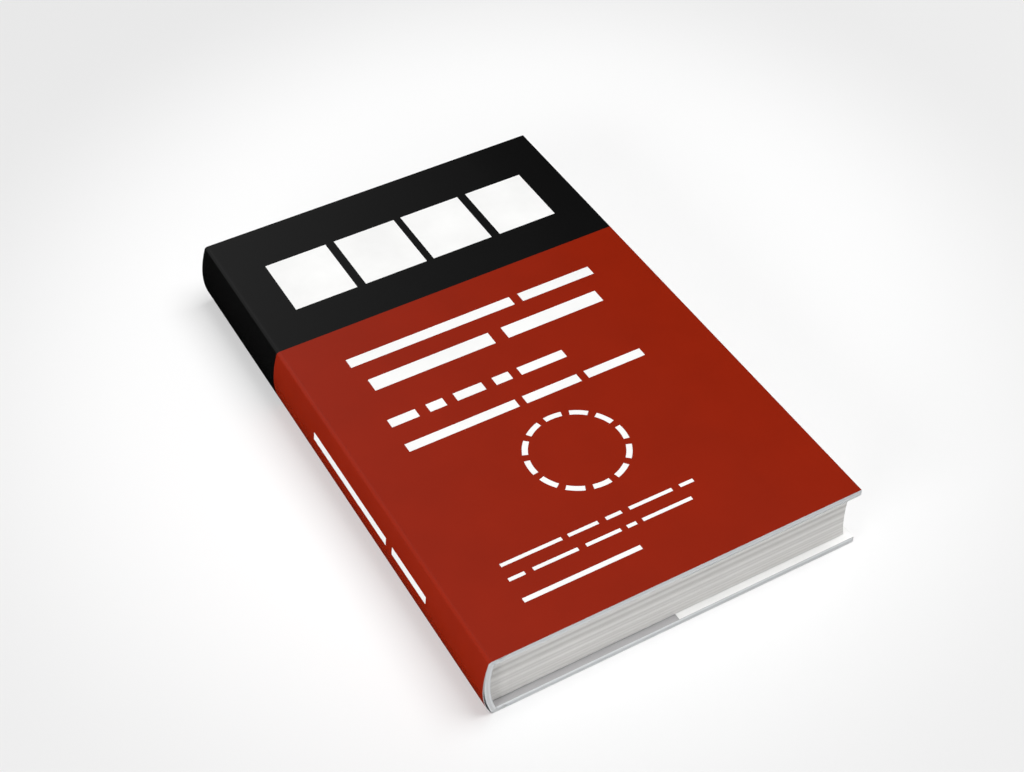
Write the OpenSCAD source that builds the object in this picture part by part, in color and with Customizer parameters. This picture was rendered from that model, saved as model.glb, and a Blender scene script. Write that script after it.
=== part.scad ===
// Hardback book in a paper dust jacket, closed and lying on its back cover.
// X runs from the spine to the fore edge, Y from the tail to the head, Z up.
// The origin is under the middle of the closed book, on the surface it lies on.

/* [Text block] */
// Width of the outermost leaf, from the shoulder of the spine to the fore edge
leaf_w = 124.8; // [90:0.1:180]
// Height of the leaves, from tail to head
leaf_h = 203.2; // [140:0.1:260]
// Thickness of the leaves together, with both flyleaves
block_t = 19.05; // [14:0.05:30]
// Thickness of one flyleaf
flyleaf_t = 0.15; // [0.1:0.01:0.3]
// Depth of the hollow in the trimmed fore edge
fore_hollow = 0.8; // [0.3:0.05:1.5]
// Number of folded sections sewn into the block
sections = 12; // [6:1:20]
// Depth of the nip between two sections at the edges of the block
nip_depth = 0.22; // [0.1:0.01:0.4]
// Width of the nip between two sections at its mouth
nip_w = 0.5; // [0.2:0.05:0.7]

/* [Case] */
// Thickness of the cover boards
board_t = 1.6; // [1.2:0.1:3]
// Thickness of the board in the case's spine
spine_board_t = 1.5; // [1:0.1:2.5]
// Reach of the covers past the leaves at head, tail and fore edge
square = 2.3; // [1.5:0.1:4]
// How far the case's spine is rounded outwards
case_rise = 1.95; // [1.2:0.05:2.4]
// Thickness of the sheet that covers the case
wrap_t = 0.2; // [0.12:0.01:0.4]
// Width of the covering sheet turned in over the boards' edges
turn_in = 15; // [10:1:20]
// Thickness of the pasted-down endpaper
paste_t = 0.14; // [0.1:0.01:0.25]
// Distance from the spine's ridge to the near side of the joint groove
groove_in = 3.2; // [2.6:0.1:4]
// Width of the groove's sloping side
groove_slope = 0.9; // [0.4:0.1:1.2]
// Depth of the joint groove
groove_d = 0.6; // [0.2:0.05:0.9]
// Thickness of the cloth lining glued to the spine of the block
lining_t = 0.15; // [0.1:0.01:0.3]
// Distance that the lining stops short of the leaves' head and tail
lining_short = 6; // [2:0.5:20]

/* [Jacket] */
// Thickness of the jacket's paper
jacket_t = 0.18; // [0.12:0.01:0.3]
// How far the jacket bulges out over the spine
jacket_rise = 2.75; // [2.5:0.05:3.5]
// Outer radius of the jacket at the spine's ridges
ridge_r = 1.6; // [1.1:0.1:2.2]
// Width of a flap, from the fore edge inwards
flap_w = 64.5; // [40:0.5:85]

/* [Clearances] */
// Room between a jacket flap and the flyleaf under it
flap_clear = 0.09; // [0.05:0.01:0.3]
// Room between the block's lined spine and the case's spine, past the turned-in sheet
hollow_clear = 0.05; // [0.03:0.01:0.3]
// Room between a swinging cover and the joint strip that stays on the spine
joint_clear = 0.2; // [0.1:0.05:0.4]
// Room between a cover that is laid open and the bulge of the spine
swing_clear = 0.35; // [0.25:0.05:1]

/* [Hidden] */

// Number of flat steps along a ridge's curve, a fold's curve and the spine's curve
ridge_steps = 6;
fold_steps = 4;
spine_steps = 20;
// Facets of the large cylinders, and how far a cutting body runs past what it cuts
$fn = 240;
past = 1;
// Smallest radius left inside a ridge
inner_ridge_r = 0.4;

// Inner faces of a cover's layers, counted from the middle of the book's thickness
block_half = block_t / 2;
pages_half = block_half - flyleaf_t;
flap_face = block_half + flap_clear;
paste_face = flap_face + jacket_t;
turn_face = paste_face + paste_t;
board_face = turn_face + wrap_t;
board_half = board_face + board_t;
case_half = board_half + wrap_t;
half_t = case_half + jacket_t;

// Heights along Y
cover_h = leaf_h + 2 * square;
board_h = cover_h - 2 * wrap_t;

// Curve of the case's spine, and of the layers inside it, about one shared centre
case_r = arc_radius(case_half, case_rise);
spine_board_r = case_r - wrap_t;
spine_board_in_r = spine_board_r - spine_board_t;
spine_turn_r = spine_board_in_r - wrap_t;
lining_r = spine_turn_r - hollow_clear;
block_r = lining_r - lining_t;
jacket_r = arc_radius(half_t, jacket_rise);

// Places along X, counted from the spine's ridge
curve_in = jacket_t - case_rise + case_r;
shoulder_in = curve_in - sqrt(block_r ^ 2 - block_half ^ 2);
cover_w = shoulder_in + leaf_w + square;

// Places along X from the middle of the closed book
fore_x = (cover_w + jacket_rise) / 2;
ridge_x = fore_x - cover_w;
curve_x = ridge_x + curve_in;
jacket_curve_x = ridge_x - jacket_rise + jacket_r;
shoulder_x = ridge_x + shoulder_in;
leaf_fore_x = fore_x - square;
board_fore_x = fore_x - jacket_t - wrap_t;
flap_x = fore_x - flap_w;

// Each cover turns about the shoulder of the block. What turns starts at swing_r from
// that line, past the bulge of the spine, and what stays lies inside strip_r of it.
swing_r = shoulder_in + jacket_rise + swing_clear;
strip_r = swing_r - joint_clear;
board_x = shoulder_x + swing_r;

// Radius of an arc that rises by rise over a half chord
function arc_radius(half_chord, rise) = (half_chord ^ 2 + rise ^ 2) / (2 * rise);

// Points of an arc about c from angle a to angle b
function arc(c, r, a, b, steps) =
    [for (i = [0:steps]) let (t = a + (b - a) * i / steps) c + r * [cos(t), sin(t)]];

function reverse(list) = [for (i = [len(list) - 1:-1:0]) list[i]];

// Spine side of one layer, from its lower flat round both ridges to its upper flat
function spine_side(centre_x, r, half, corner_r) =
    let (
        rise = half - corner_r,
        reach = sqrt((r - corner_r) ^ 2 - rise ^ 2),
        tilt = asin(rise / (r - corner_r))
    )
    concat(
        arc([centre_x - reach, -rise], corner_r, 270, 180 + tilt, ridge_steps),
        arc([centre_x, 0], r, 180 + tilt, 180 - tilt, spine_steps),
        arc([centre_x - reach, rise], corner_r, 180 - tilt, 90, ridge_steps)
    );

// Upper flat of a layer from the ridge across the joint groove to x_end
function grooved_flat(half, x_end) = [
    [ridge_x + groove_in, half],
    [ridge_x + groove_in + groove_slope, half - groove_d],
    [x_end, half - groove_d],
];

// The same flat under the book, read in the other direction
function lower_side(points) = [for (p = reverse(points)) [p[0], -p[1]]];

// A whole layer round the spine, from the lower joint to the upper one
function grooved_side(side, half) = concat(
    lower_side(grooved_flat(half, board_x)),
    side,
    grooved_flat(half, board_x)
);

function plain_side(side, half) = concat([[board_x, -half]], side, [[board_x, half]]);

case_side = grooved_side(spine_side(curve_x, case_r, case_half, ridge_r - jacket_t), case_half);
board_side = grooved_side(
    spine_side(curve_x, spine_board_r, board_half, ridge_r - jacket_t - wrap_t),
    board_half
);
board_in_side = plain_side(
    spine_side(curve_x, spine_board_in_r, block_half + hollow_clear + wrap_t, inner_ridge_r),
    block_half + hollow_clear + wrap_t
);
turn_side = plain_side(
    spine_side(curve_x, spine_turn_r, block_half + hollow_clear, inner_ridge_r),
    block_half + hollow_clear
);
jacket_side = plain_side(spine_side(jacket_curve_x, jacket_r, half_t, ridge_r), half_t);
jacket_in_side = plain_side(
    spine_side(jacket_curve_x, jacket_r - jacket_t, half_t - jacket_t, ridge_r - jacket_t),
    half_t - jacket_t
);

// A body of one section all along Y, centred on the tail-to-head middle
module prism(points, length) {
    rotate([90, 0, 0])
        linear_extrude(height = length, center = true)
            polygon(points);
}

module bar(x0, x1, z0, z1, length) {
    translate([x0, -length / 2, z0])
        cube([x1 - x0, length, z1 - z0]);
}

// A cylinder about the line on the block's front shoulder that the front cover turns on
module swing_cylinder(r) {
    translate([shoulder_x, 0, block_half])
        rotate([90, 0, 0])
            cylinder(r = r, h = cover_h + 2 * past, center = true);
}

// A bar whose fore-edge corners are folded round with radius r
module folded_bar(x0, x1, z0, z1, r, length) {
    prism(
        concat(
            [[x0, z0]],
            arc([x1 - r, z0 + r], r, -90, 0, fold_steps),
            arc([x1 - r, z1 - r], r, 0, 90, fold_steps),
            [[x0, z1]]
        ),
        length
    );
}

// What stays on the spine: all left of the shoulder, and the strips inside strip_r
module keep_to_strips() {
    intersection() {
        children();
        union() {
            bar(ridge_x - jacket_rise - past, shoulder_x, -half_t - past, half_t + past, cover_h + past);
            swing_cylinder(strip_r);
            mirror([0, 0, 1])
                swing_cylinder(strip_r);
        }
    }
}

// Places what is drawn about the middle of the book's thickness on the front cover
module on_front() {
    translate([0, 0, half_t])
        children();
}

// Places the mirror image of the same piece on the back cover
module on_back() {
    translate([0, 0, half_t])
        mirror([0, 0, 1])
            children();
}

// Outline of the leaves: rounded spine on the left, hollow fore edge on the right
back_tilt = asin(pages_half / block_r);
back_side = arc([curve_x, 0], block_r, 180 + back_tilt, 180 - back_tilt, spine_steps);
fore_r = arc_radius(block_half, fore_hollow);
fore_curve_x = leaf_fore_x - fore_hollow + fore_r;
fore_tilt = asin(pages_half / fore_r);
fore_side = arc([fore_curve_x, 0], fore_r, 180 - fore_tilt, 180 + fore_tilt, spine_steps);
lining_side = arc([curve_x, 0], lining_r, 180 + back_tilt, 180 - back_tilt, spine_steps);

// A wedge that cuts a nip nip_depth deep and nip_w wide at its mouth
module nip_wedge(length) {
    linear_extrude(height = length, center = true)
        polygon([[nip_depth, 0], [-nip_depth, -nip_w], [-nip_depth, nip_w]]);
}

// A nip all round the block between two sections, at height z
module nip(z) {
    back_x = curve_x - sqrt(block_r ^ 2 - z ^ 2);
    fore_edge_x = fore_curve_x - sqrt(fore_r ^ 2 - z ^ 2);
    middle_x = (ridge_x + fore_x) / 2;
    for (edge = [[back_x, 0], [fore_edge_x, 180]])
        translate([edge[0], 0, z])
            rotate([90, 0, edge[1]])
                nip_wedge(leaf_h + 2 * past);
    for (end = [[-leaf_h / 2, 90], [leaf_h / 2, -90]])
        translate([middle_x, end[0], z])
            rotate([90, 0, end[1]])
                nip_wedge(cover_w + 2 * past);
}

// All the leaves as one solid, with a nip between each two sections
module page_block() {
    section_t = 2 * pages_half / sections;
    color("#c9c8c4")
        translate([0, 0, half_t])
            difference() {
                prism(concat(back_side, fore_side), leaf_h);
                for (i = [1:sections - 1])
                    nip(i * section_t - pages_half);
            }
}

// Cloth glued over the rounded spine of the block
module spine_lining() {
    color("#e4dfd2")
        translate([0, 0, half_t])
            prism(concat(lining_side, reverse(back_side)), leaf_h - 2 * lining_short);
}

module flyleaf() {
    color("#f0f0ef")
        bar(shoulder_x, leaf_fore_x, pages_half, block_half, leaf_h);
}

module front_flyleaf() {
    on_front() flyleaf();
}

module back_flyleaf() {
    on_back() flyleaf();
}

// Board of the case's spine, with the shoulders that lie on the block at both joints
module spine_board_ring() {
    prism(concat(board_side, reverse(board_in_side)), board_h);
}

module spine_board() {
    color("#9a948a")
        translate([0, 0, half_t])
            keep_to_strips()
                spine_board_ring();
}

// Sheet over the spine board, down into both joint grooves and turned in at head and tail
module spine_wrap() {
    color("#c8ccd0")
        translate([0, 0, half_t])
            difference() {
                keep_to_strips()
                    prism(concat(case_side, reverse(turn_side)), cover_h);
                spine_board_ring();
                prism(board_in_side, board_h - 2 * turn_in);
            }
}

// Jacket over the spine, which bulges past the case and spans both grooves
module jacket_spine() {
    color("#8f2716")
        translate([0, 0, half_t])
            keep_to_strips()
                prism(concat(jacket_side, reverse(jacket_in_side)), cover_h);
}

module cover_board() {
    color("#9a948a")
        bar(board_x, board_fore_x, board_face, board_half, board_h);
}

// Sheet over one board, turned in over its head, tail and fore edge
module cover_wrap() {
    color("#c8ccd0")
        difference() {
            folded_bar(shoulder_x, board_fore_x + wrap_t, turn_face, case_half, wrap_t, cover_h);
            bar(shoulder_x - past, board_fore_x, board_face, board_half, board_h);
            bar(
                shoulder_x - past, board_fore_x - turn_in,
                turn_face - past, board_half, board_h - 2 * turn_in
            );
            swing_cylinder(swing_r);
        }
}

// Endpaper pasted down over the turned-in sheet and, between its edges, onto the board
module pastedown() {
    color("#f0f0ef") {
        bar(board_x, leaf_fore_x, paste_face, turn_face, leaf_h);
        bar(
            board_x, board_fore_x - turn_in,
            (paste_face + turn_face) / 2, board_face, board_h - 2 * turn_in
        );
    }
}

// Jacket over one cover, folded round its fore edge into the flap
module jacket_panel() {
    fold_r = jacket_t + wrap_t;
    color("#8f2716")
        difference() {
            folded_bar(shoulder_x, fore_x, flap_face, half_t, fold_r, cover_h);
            folded_bar(
                shoulder_x - past, fore_x - jacket_t,
                paste_face, case_half, wrap_t, cover_h + 2 * past
            );
            bar(shoulder_x - past, flap_x, flap_face - past, board_half, cover_h + 2 * past);
            swing_cylinder(swing_r);
        }
}

module front_board() {
    on_front() cover_board();
}

module front_wrap() {
    on_front() cover_wrap();
}

module front_pastedown() {
    on_front() pastedown();
}

module jacket_front() {
    on_front() jacket_panel();
}

module back_board() {
    on_back() cover_board();
}

module back_wrap() {
    on_back() cover_wrap();
}

module back_pastedown() {
    on_back() pastedown();
}

module jacket_back() {
    on_back() jacket_panel();
}

page_block();
spine_lining();
front_flyleaf();
back_flyleaf();
spine_board();
spine_wrap();
jacket_spine();
front_board();
front_wrap();
front_pastedown();
jacket_front();
back_board();
back_wrap();
back_pastedown();
jacket_back();
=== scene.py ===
"""A hardback book in a paper dust jacket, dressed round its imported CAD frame.

X runs from the spine to the fore edge, Y from the tail to the head and Z up, in metres.
The book is closed and lies on its back cover. Flat layouts are given in millimetres.
"""

import math
import random

import bmesh
import bpy
from mathutils import Matrix, Vector
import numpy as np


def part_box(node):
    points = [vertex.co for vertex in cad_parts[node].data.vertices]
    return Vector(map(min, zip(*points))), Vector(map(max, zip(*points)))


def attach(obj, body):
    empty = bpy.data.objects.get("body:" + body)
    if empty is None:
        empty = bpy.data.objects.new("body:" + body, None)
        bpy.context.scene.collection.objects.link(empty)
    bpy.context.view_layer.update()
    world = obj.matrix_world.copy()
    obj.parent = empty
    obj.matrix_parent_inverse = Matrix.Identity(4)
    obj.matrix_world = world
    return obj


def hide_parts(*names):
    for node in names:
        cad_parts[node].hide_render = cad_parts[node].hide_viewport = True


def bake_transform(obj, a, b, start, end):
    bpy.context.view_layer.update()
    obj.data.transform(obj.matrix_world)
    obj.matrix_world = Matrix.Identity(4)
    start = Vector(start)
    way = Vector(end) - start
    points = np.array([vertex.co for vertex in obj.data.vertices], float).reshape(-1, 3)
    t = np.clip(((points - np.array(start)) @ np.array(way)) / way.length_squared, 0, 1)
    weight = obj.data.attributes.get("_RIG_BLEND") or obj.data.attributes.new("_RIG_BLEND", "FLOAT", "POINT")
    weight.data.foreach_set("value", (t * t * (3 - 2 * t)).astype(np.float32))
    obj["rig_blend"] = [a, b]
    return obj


bl_info = {
    "name": "Hardback book",
    "version": (1, 0, 0),
    "blender": (4, 5, 0),
    "location": "View3D > Sidebar > Book",
    "description": "Builds a hardback book with a dust jacket round its CAD frame",
    "category": "Object",
}

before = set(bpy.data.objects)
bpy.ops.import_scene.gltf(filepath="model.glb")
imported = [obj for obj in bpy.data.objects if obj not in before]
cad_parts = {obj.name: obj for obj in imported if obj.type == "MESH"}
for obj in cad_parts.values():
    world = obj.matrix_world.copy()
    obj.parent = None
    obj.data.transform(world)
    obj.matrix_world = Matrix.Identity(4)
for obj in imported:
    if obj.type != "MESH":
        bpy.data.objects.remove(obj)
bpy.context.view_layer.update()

MM = 0.001
HAIR = 0.01 * MM  # room between two layers that lie on each other
SAME_PLACE = 1e-7  # points nearer than this are level

# Places taken from the CAD solids
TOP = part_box("jacket_front")[1].z
MIDDLE = TOP / 2
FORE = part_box("jacket_front")[1].x
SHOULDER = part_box("front_flyleaf")[0].x
LEAF_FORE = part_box("front_flyleaf")[1].x
BLOCK_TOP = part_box("front_flyleaf")[1].z
PAGES_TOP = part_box("page_block")[1].z
BOARD_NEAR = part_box("front_board")[0].x
BOARD_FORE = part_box("front_board")[1].x
CASE_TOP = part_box("front_wrap")[1].z
CASE_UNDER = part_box("front_wrap")[0].z
PASTE_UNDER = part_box("front_pastedown")[0].z
FLAP_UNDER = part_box("jacket_front")[0].z
COVER_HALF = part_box("jacket_front")[1].y
LEAF_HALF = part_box("page_block")[1].y
JACKET_BULGE = 2.75 * MM
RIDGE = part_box("jacket_spine")[0].x + JACKET_BULGE
TO_SHOULDER = SHOULDER - RIDGE

# Radii of the spine's layers, and the lines that their arcs are centred on
CASE_RADIUS = 37.5 * MM
SPINE_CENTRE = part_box("spine_wrap")[0].x + CASE_RADIUS
CASE_INNER_RADIUS = 35.6 * MM
CASE_INNER_CORNER = 0.4 * MM
BLOCK_RADIUS = 35.4 * MM
JACKET_RADIUS = (MIDDLE**2 + JACKET_BULGE**2) / (2 * JACKET_BULGE)
FORE_HOLLOW = 0.8 * MM

# Cuts round each kind of bend
RIDGE_STEPS = 12
SPINE_STEPS = 40
FOLD_STEPS = 6
EDGE_STEPS = 4

# The trimmed faces of the leaves: bundles that stand in or out, and nips between the sections
BUNDLES = 84
BUNDLES_A_SECTION = 7
BUNDLE_FACE = 0.12, 0.88  # share of a bundle's height where its flat face starts and ends
SECTION_STEP = 0.06 * MM
SECTION_NIP = 0.16 * MM
BUNDLE_NIP = 0.05 * MM

# Distances from the shoulder at which sheets are cut, so that they bend there, in millimetres
ENDPAPER_CUTS = (1.0, 1.6, 2.2, 2.8, 3.4, 4.0, 4.8, 6.5, 9.0)
CASE_CUTS = tuple(i * 0.25 for i in range(23)) + (6.5, 9)
JACKET_CUTS = (0, 0.5, 1, 1.5, 2, 2.5, 3, 3.5, 4, 5, 7, 10, 20, 60, 100)
JACKET_STATIONS = 24  # lengths that the jacket is cut into from tail to head

# Distance from the shoulder at which a sheet has turned all the way with its cover
CASE_TURN = 3.5 * MM
JACKET_TURN = 3.7 * MM

# The endpaper's fold: where it leaves the flyleaf, in degrees, and its centre from the shoulder
FOLD_FROM = 212
FOLD_OUT = 0.28 * MM
# Strip of the endpaper at the joint that stays level with the turned-in sheet
JOINT_STRIP = 8 * MM
STEP_SLOPE = 0.6 * MM  # half the width of the slope at the turned-in sheet's edge

JACKET_FOLD = 0.1 * MM  # inside radius of the jacket's fold at the fore edge
GROOVE_SLOPE = 0.42  # share of the joint groove's width that each of its sides takes

# An end is rounded by a little less than its corners, so that no corner shrinks to a point
END_ROUNDING = 0.98
# The vertex value inside where a covering sheet turns round a board's end, and the share of the
# end's rounding at which that sheet lies flat inside the cover. The case's material paints a
# highlight where the value is EDGE_INSIDE and shade where it is 1
EDGE_INSIDE, EDGE_TURNED = 0.9, 0.2


def srgb(code):
    """Linear red, green, blue and alpha of a hex colour."""
    parts = [int(code[i : i + 2], 16) / 255 for i in (1, 3, 5)]
    linear = [c / 12.92 if c <= 0.04045 else ((c + 0.055) / 1.055) ** 2.4 for c in parts]
    return (*linear, 1.0)


def length(name, description, default):
    """A size in metres."""
    return bpy.props.FloatProperty(
        name=name, description=description, default=default,
        min=0.0, unit="LENGTH", precision=5,
    )


def factor(name, description, default):
    """A share from 0 to 1."""
    return bpy.props.FloatProperty(
        name=name, description=description, default=default,
        min=0.0, max=1.0, subtype="FACTOR",
    )


def colour(name, description, code):
    """A colour, given as sRGB hex and kept linear."""
    return bpy.props.FloatVectorProperty(
        name=name, description=description, default=srgb(code),
        size=4, min=0, max=1, subtype="COLOR",
    )


class BookSizes(bpy.types.PropertyGroup):
    """Sizes of the paper, the case and the jacket"""

    jacket_paper: length("Jacket paper", "Thickness of the jacket's paper", 0.18 * MM)
    jacket_ridge: length("Jacket ridge", "Radius where the jacket turns onto the spine", 1.6 * MM)
    tail_bulge: factor("Bulge at the tail", "Share of the jacket's full bulge at the tail", 0.89)
    head_bulge: factor("Bulge at the head", "Share of the jacket's full bulge at the head", 0.99)
    low_bulge: factor("Low bulge", "How far the jacket's bulge hangs towards the table", 0.19)
    flap_width: length("Flap", "Width of a jacket flap from the fore edge", 64.5 * MM)
    case_ridge: length("Case ridge", "Radius of the case where it turns onto the spine", 1.42 * MM)
    case_edge: length("Case edge", "Radius where the sheet turns round a board", 0.28 * MM)
    groove_start: length("Joint start", "Distance from the ridge to the joint groove", 2.7 * MM)
    groove_end: length("Joint end", "Distance from the ridge to the groove's end", 6.6 * MM)
    groove_depth: length("Joint depth", "Depth of the joint groove", 0.6 * MM)
    turn_in: length("Turn-in", "Width of the sheet turned in under the endpaper", 15 * MM)
    turn_in_step: length("Turn-in step", "Height of the turned-in edge in the endpaper", 0.08 * MM)
    endpaper: length("Endpaper", "Thickness of the pasted-down endpaper", 0.13 * MM)
    leaf_lift: length("Leaf lift", "How far leaves stand in or out of the trim", 0.035 * MM)


class BookColours(bpy.types.PropertyGroup):
    """Colours of the print, the paper and the floor"""

    body: colour("Jacket body", "Ink of the jacket below the band", "#8F2009")
    band: colour("Jacket band", "Ink of the band at the head", "#0E0E0E")
    ink: colour("Jacket marks", "Unprinted paper in the marks", "#F9F9F8")
    paper: colour("Jacket paper", "Unprinted inside of the jacket", "#EDEEEE")
    # Painted shade, in part: the cut edges are greyer than the paper to draw the shadow line under the
    # flap's edge
    cut_edge_and_shade: colour("Jacket cut edge", "Cut edges of the jacket's sheet", "#C6C7C8")
    case: colour("Case", "Sheet that covers the boards", "#D1D3D5")
    # Painted shade: the sheet's margin inside the covers is painted darker than the case
    turned_in: colour("Turned-in sheet", "Margin of the sheet inside the covers", "#B4B3B4")
    endpaper: colour("Endpaper", "Endpapers and flyleaves", "#BDBCBC")
    leaves: colour("Leaves", "Cut edges of the leaves", "#F2F1EF")
    leaves_dark: colour("Leaves in shade", "Cut edges between the sections", "#C3C1BE")
    cloth: colour("Lining", "Cloth glued over the spine of the leaves", "#DDD6C6")
    floor: colour("Floor", "Studio floor", "#FCFCFC")


# Modelling


def clear_selection():
    """Leaves edit mode with nothing selected."""
    if bpy.context.mode != "OBJECT":
        bpy.ops.object.mode_set(mode="OBJECT")
    bpy.ops.object.select_all(action="DESELECT")


def arc(centre_x, centre_z, radius, start, end, steps):
    """Points (x, z) on an arc from angle start to angle end, in degrees."""
    turns = [math.radians(start + (end - start) * i / steps) for i in range(steps + 1)]
    return [(centre_x + radius * math.cos(t), centre_z + radius * math.sin(t)) for t in turns]


def start_edge(name, first, second):
    """A new object in edit mode that holds one selected edge, cut from a plane."""
    clear_selection()
    bpy.ops.mesh.primitive_plane_add(size=1.0, location=(0, 0, 0))
    piece = bpy.context.object
    piece.name = piece.data.name = name
    bpy.ops.object.mode_set(mode="EDIT")
    mesh = bmesh.from_edit_mesh(piece.data)
    for vert in mesh.verts:
        vert.select_set(vert.co.x > 0)
    mesh.select_flush(True)
    bpy.ops.mesh.delete(type="VERT")
    mesh = bmesh.from_edit_mesh(piece.data)
    for vert, place in zip(sorted(mesh.verts, key=lambda v: v.co.y), (first, second)):
        vert.co = place
    bpy.ops.mesh.select_all(action="SELECT")
    return piece


def extrude(move):
    """Extrudes what is selected along move, which leaves the new part selected."""
    bpy.ops.mesh.extrude_region_move(
        TRANSFORM_OT_translate={"value": move, "orient_type": "GLOBAL"}
    )


def face_outwards(piece, outward):
    """Turns the faces of an open sheet so that its first face looks along outward."""
    mesh = bmesh.from_edit_mesh(piece.data)
    mesh.normal_update()
    mesh.faces.ensure_lookup_table()
    bpy.ops.mesh.select_all(action="SELECT")
    if mesh.faces[0].normal.dot(Vector(outward)) < 0:
        bpy.ops.mesh.flip_normals()


def drawn_sheet(name, path, stations, outward):
    """An open sheet: an edge from tail to head, cut at the stations, drawn along a path in XZ."""
    low, high = stations[0], stations[-1]
    x, z = path[0]
    piece = start_edge(name, (x, low, z), (x, high, z))
    if len(stations) > 2:
        bpy.ops.mesh.subdivide(number_cuts=len(stations) - 2)
        mesh = bmesh.from_edit_mesh(piece.data)
        for vert, y in zip(sorted(mesh.verts, key=lambda v: v.co.y), stations):
            vert.co.y = y
        bpy.ops.mesh.select_all(action="SELECT")
    for (x0, z0), (x1, z1) in zip(path, path[1:]):
        extrude((x1 - x0, 0, z1 - z0))
    face_outwards(piece, outward)
    return piece


def lay_flat_map(piece, path, start):
    """Gives the sheet a UV map of its flat layout in metres: U along the path, V along Y."""
    run, along = start, {}
    for i, point in enumerate(path):
        if i:
            run += math.dist(path[i - 1], point)
        along[point] = run
    mesh = bmesh.from_edit_mesh(piece.data)
    flat = mesh.loops.layers.uv.new("flat")
    for vert in mesh.verts:
        nearest = min(path, key=lambda p: (p[0] - vert.co.x) ** 2 + (p[1] - vert.co.z) ** 2)
        for loop in vert.link_loops:
            loop[flat].uv = (along[nearest], vert.co.y)


def finish_piece(piece, materials, smooth=40):
    """Leaves edit mode, smooths what is rounder than the angle and gives the materials."""
    bpy.ops.object.mode_set(mode="OBJECT")
    bpy.ops.object.shade_smooth_by_angle(angle=math.radians(smooth))
    slots = piece.data.materials
    for number, material in enumerate(materials):
        if number == len(slots):
            slots.append(material)
        slots[number] = material


def give_thickness(piece, thickness):
    """Gives a sheet its thickness behind its faces.
    Its back takes the second material and its edges the third."""
    bpy.ops.object.mode_set(mode="OBJECT")
    solid = piece.modifiers.new("thickness", "SOLIDIFY")
    solid.thickness = thickness
    solid.offset = -1
    solid.use_even_offset = True
    solid.material_offset = 1
    solid.material_offset_rim = 2
    for _ in range(3):
        piece.data.materials.append(None)
    bpy.ops.object.modifier_apply(modifier=solid.name)


def thick_band(name, outlines, half_length, edge):
    """A closed solid from tail to head between two outlines in XZ, with rounded ends.
    outlines(inset) gives the outer and the inner outline, shrunk by inset, with matching points.
    The vertex value inside is 0 on the outer outline, 1 on the inner one and less where that turns
    round the ends."""
    turns = [math.pi / 2 * k / EDGE_STEPS for k in range(EDGE_STEPS + 1)]
    rings = [(edge * (1 - math.cos(t)) - half_length, edge * (1 - math.sin(t))) for t in turns]
    rings += [(-y, inset) for y, inset in reversed(rings)]
    outer, inner = outlines(edge)
    piece = start_edge(name, *[(x, -half_length, z) for x, z in (outer[0], inner[0])])
    mesh = bmesh.from_edit_mesh(piece.data)
    inside = mesh.verts.layers.float.new("inside")
    for vert in mesh.verts:
        on_inner = abs(vert.co.z - outer[0][1]) > abs(vert.co.z - inner[0][1])
        vert[inside] = EDGE_INSIDE if on_inner else 0.0
    for here, ahead, foot in zip(outer, outer[1:], inner[1:]):
        extrude((ahead[0] - here[0], 0, ahead[1] - here[1]))
        mesh = bmesh.from_edit_mesh(piece.data)
        tip = Vector((ahead[0], -half_length, ahead[1]))
        added = sorted((v for v in mesh.verts if v.select), key=lambda v: (v.co - tip).length)
        added[-1].co = (foot[0], -half_length, foot[1])
    mesh = bmesh.from_edit_mesh(piece.data)
    places = outer + inner
    slots = [
        min(
            range(len(places)),
            key=lambda k: (places[k][0] - v.co.x) ** 2 + (places[k][1] - v.co.z) ** 2,
        )
        for v in mesh.verts
    ]
    bpy.ops.mesh.select_all(action="SELECT")
    for (low_y, _), (y, inset) in zip(rings, rings[1:]):
        extrude((0, y - low_y, 0))
        mesh = bmesh.from_edit_mesh(piece.data)
        outer, inner = outlines(inset)
        places = outer + inner
        inside = mesh.verts.layers.float["inside"]
        for vert, slot in zip([v for v in mesh.verts if v.select], slots):
            vert.co = (places[slot][0], y, places[slot][1])
            if slot >= len(outer):
                vert[inside] = EDGE_INSIDE if inset > EDGE_TURNED * edge else 1.0
        bmesh.update_edit_mesh(piece.data)
    bpy.ops.mesh.select_all(action="SELECT")
    bpy.ops.mesh.normals_make_consistent(inside=False)
    return piece


def mirrored(points):
    """The same points under the book, mirrored about its middle height."""
    return [(x, TOP - z) for x, z in points]


# Materials


def add_node(tree, kind, settings, inputs):
    """Adds a shader node with its settings, and links or sets its inputs."""
    node = tree.nodes.new("ShaderNode" + kind)
    for key, value in settings.items():
        setattr(node, key, value)
    for key, value in inputs.items():
        if isinstance(value, bpy.types.NodeSocket):
            tree.links.new(value, node.inputs[key])
        else:
            node.inputs[key].default_value = value
    return node


def new_material(name):
    """An empty node material with its Principled surface linked to the output."""
    material = bpy.data.materials.new(name)
    material.use_nodes = True
    tree = material.node_tree
    tree.nodes.clear()
    surface = add_node(tree, "BsdfPrincipled", {}, {})
    add_node(tree, "OutputMaterial", {}, {"Surface": surface.outputs[0]})
    return material, tree, surface


def set_ramp(ramp, stops, interpolation="LINEAR"):
    """Sets a colour ramp's stops, each a position and a linear colour."""
    ramp.color_ramp.interpolation = interpolation
    elements = ramp.color_ramp.elements
    while len(elements) > 1:
        elements.remove(elements[-1])
    elements[0].position, elements[0].color = stops[0]
    for position, value in stops[1:]:
        elements.new(position).color = value


def grey(level):
    """A neutral linear colour."""
    return (level, level, level, 1.0)


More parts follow.
